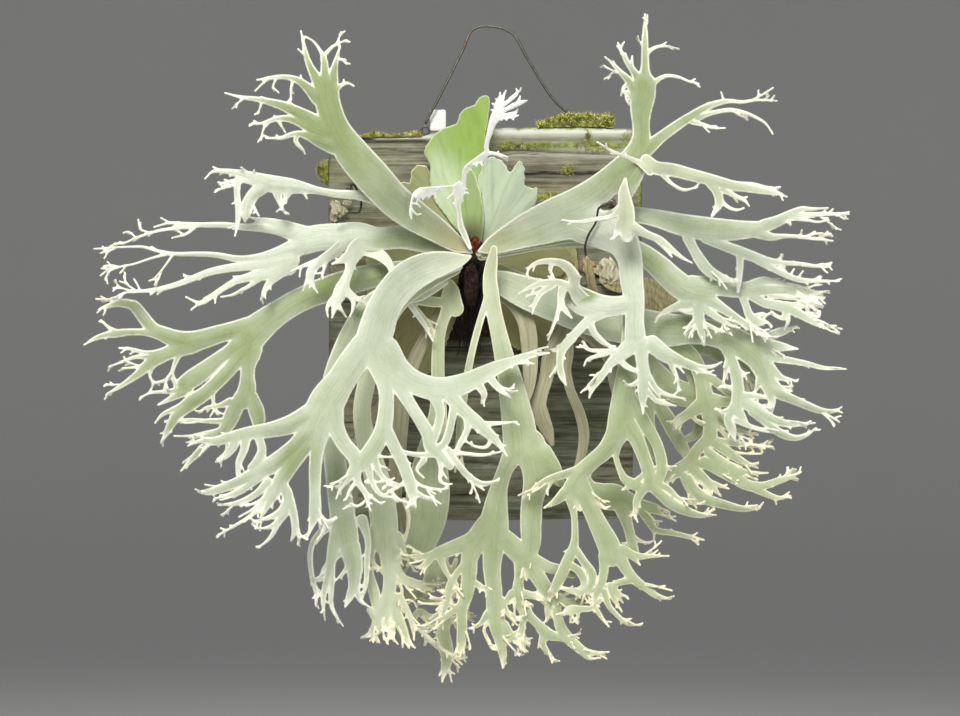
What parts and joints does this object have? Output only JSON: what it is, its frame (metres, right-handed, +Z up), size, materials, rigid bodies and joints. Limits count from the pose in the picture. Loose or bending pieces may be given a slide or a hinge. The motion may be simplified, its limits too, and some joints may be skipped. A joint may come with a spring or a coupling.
{
  "type": "staghorn fern",
  "caption": "Staghorn fern with antler-like forked fronds and flat shield fronds, tied with wire to a weathered wooden plaque that hangs flat against a wall.",
  "frame": {"origin": "centre of the plaque's flat back face, which lies against the wall", "axes": "+Y into the wall, +Z up, +X to the right as seen from the front; the plant stands out towards -Y"},
  "size_m": [0.5833, 0.2139, 0.518],
  "materials": {
    "frond_green": "matt, covered with fine pale felt",
    "frond_old": "dry and matt",
    "frond_young": "white felt",
    "shield_green": "matt",
    "shield_old": "dry and matt",
    "weathered_wood": "rough, weathered grey-brown",
    "moss": "soft and matt",
    "moss_and_roots": "fibrous and matt",
    "rhizome": "dark fuzzy scales",
    "steel_wire": "dull, weathered",
    "nail_steel": "dull, weathered",
    "tag_plastic": "matt"
  },
  "bodies": {
    "root": {"frond_upper_left": "frond_green", "frond_upper_right": "frond_green", "frond_left": "frond_green", "frond_left_thin": "frond_green", "frond_lower_left": "frond_green", "frond_front_left": "frond_green", "frond_centre": "frond_green", "frond_lower_right": "frond_green", "frond_right": "frond_green", "frond_right_low": "frond_green", "frond_right_drooping": "frond_green", "frond_right_back": "frond_green", "frond_inner_left": "frond_green", "frond_bottom_left": "frond_green", "frond_bottom_back": "frond_green", "frond_old_right": "frond_old", "frond_old_centre": "frond_old", "frond_old_left": "frond_old", "frond_right_inner": "frond_green", "frond_low_right_back": "frond_green", "frond_young_inner": "frond_young", "frond_young_top": "frond_young", "shield_old_left": "shield_old", "shield_old_right": "shield_old", "shield_inner_left": "shield_old", "shield_inner_right": "shield_old", "shield_brown_top": "shield_old", "shield_green_top": "shield_green", "shield_grey_top": "shield_green", "shield_inner_top": "shield_green", "board": "weathered_wood", "moss_pad": "moss_and_roots", "rhizome": "rhizome", "moss_top_right": "moss", "moss_top_left": "moss", "moss_left_edge": "moss", "hanger_wire": "steel_wire", "screw_eye_left": "nail_steel", "screw_eye_right": "nail_steel", "nail_right": "nail_steel", "nail_left": "nail_steel", "tie_wire_right": "steel_wire", "tie_wire_left": "steel_wire", "dead_stipe_right": "frond_old", "plant_tag": "tag_plastic"}
  },
  "joints": []
}
